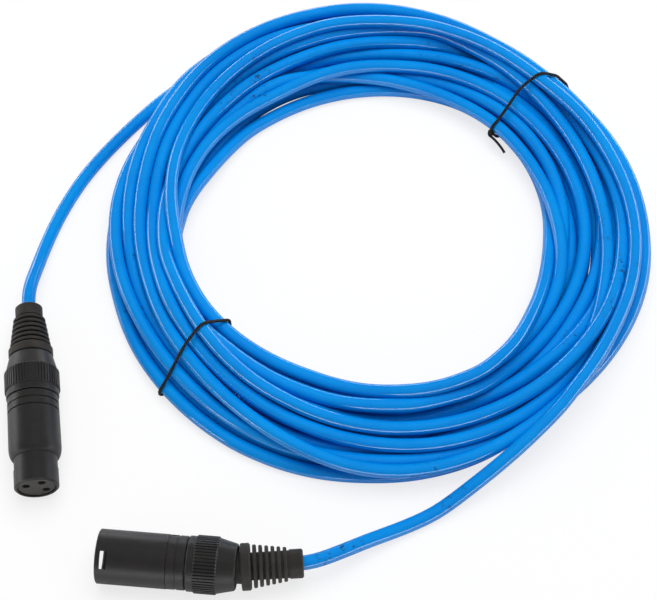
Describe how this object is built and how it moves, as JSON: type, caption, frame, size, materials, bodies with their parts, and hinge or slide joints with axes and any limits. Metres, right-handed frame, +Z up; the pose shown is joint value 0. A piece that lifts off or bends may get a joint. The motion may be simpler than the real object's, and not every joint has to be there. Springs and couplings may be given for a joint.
{
  "type": "coiled microphone cable",
  "caption": "Coiled three-pole microphone cable: a flat hank tied with thin cord, one end in a female connector, the other in a male one, each with a knurled collar and a bend relief.",
  "frame": {"origin": "on the surface the cable lies on, under the middle of the outline", "axes": "+Z up, away from the surface; +Y from the connectors towards the far side of the hank; +X to the right, the female connector at the left"},
  "size_m": [0.2432, 0.2558, 0.0248],
  "materials": {
    "jacket": "smooth bright blue flexible jacket, satin gloss",
    "tie_cord": "thin black cord",
    "shell_black": "satin black coat over die-cast metal",
    "insert_plastic": "black moulded plastic",
    "contact_metal": "plated contact metal",
    "spring_steel": "plain steel",
    "chuck_plastic": "dark grey moulded plastic",
    "relief_rubber": "matt black moulded rubber",
    "core_insulation": "coloured wire insulation and bare screen"
  },
  "bodies": {
    "cable": {"cable_coil": "jacket", "cable_tail_female": "jacket", "cable_tail_male": "jacket", "tie_upper": "tie_cord", "tie_lower": "tie_cord", "female_shell": "shell_black", "female_insert": "insert_plastic", "female_contact_1": "contact_metal", "female_contact_2": "contact_metal", "female_contact_3": "contact_metal", "female_latch_spring": "spring_steel", "female_latch_pin": "spring_steel", "female_chuck": "chuck_plastic", "female_cores": "core_insulation", "male_shell": "shell_black", "male_insert": "insert_plastic", "male_pin_1": "contact_metal", "male_pin_2": "contact_metal", "male_pin_3": "contact_metal", "male_chuck": "chuck_plastic", "male_cores": "core_insulation"},
    "female_latch": {"female_latch": "shell_black"},
    "female_boot": {"female_boot": "relief_rubber"},
    "female_collar": {"female_collar": "shell_black"},
    "male_boot": {"male_boot": "relief_rubber"},
    "male_collar": {"male_collar": "shell_black"}
  },
  "joints": [
    {"name": "female_latch_press", "type": "hinge", "parent": "cable", "child": "female_latch", "pos_m": [-0.11392, -0.05842, 0.00392], "axis": [-0.8171, -0.1076, 0.5664], "range_deg": [0, 3.5], "stiffness_Nm_per_rad": 1.3},
    {"name": "female_boot_slide", "type": "slide", "parent": "cable", "child": "female_boot", "axis": [-0.1305, 0.9914, 0], "range_m": [0, 0.002]},
    {"name": "female_collar_turn", "type": "hinge", "parent": "female_boot", "child": "female_collar", "pos_m": [-0.1103, -0.0534, 0.0101], "axis": [-0.1305, 0.9914, 0], "range_deg": [0, 720]},
    {"name": "male_boot_slide", "type": "slide", "parent": "cable", "child": "male_boot", "axis": [0.9962, -0.0872, 0], "range_m": [0, 0.002]},
    {"name": "male_collar_turn", "type": "hinge", "parent": "male_boot", "child": "male_collar", "pos_m": [-0.0509, -0.1169, 0.0101], "axis": [0.9962, -0.0872, 0], "range_deg": [0, 720]}
  ],
  "couplings": [
    {"joint": "female_boot_slide", "follows": "female_collar_turn", "m_per_rad": 0.000159},
    {"joint": "male_boot_slide", "follows": "male_collar_turn", "m_per_rad": 0.000159}
  ]
}
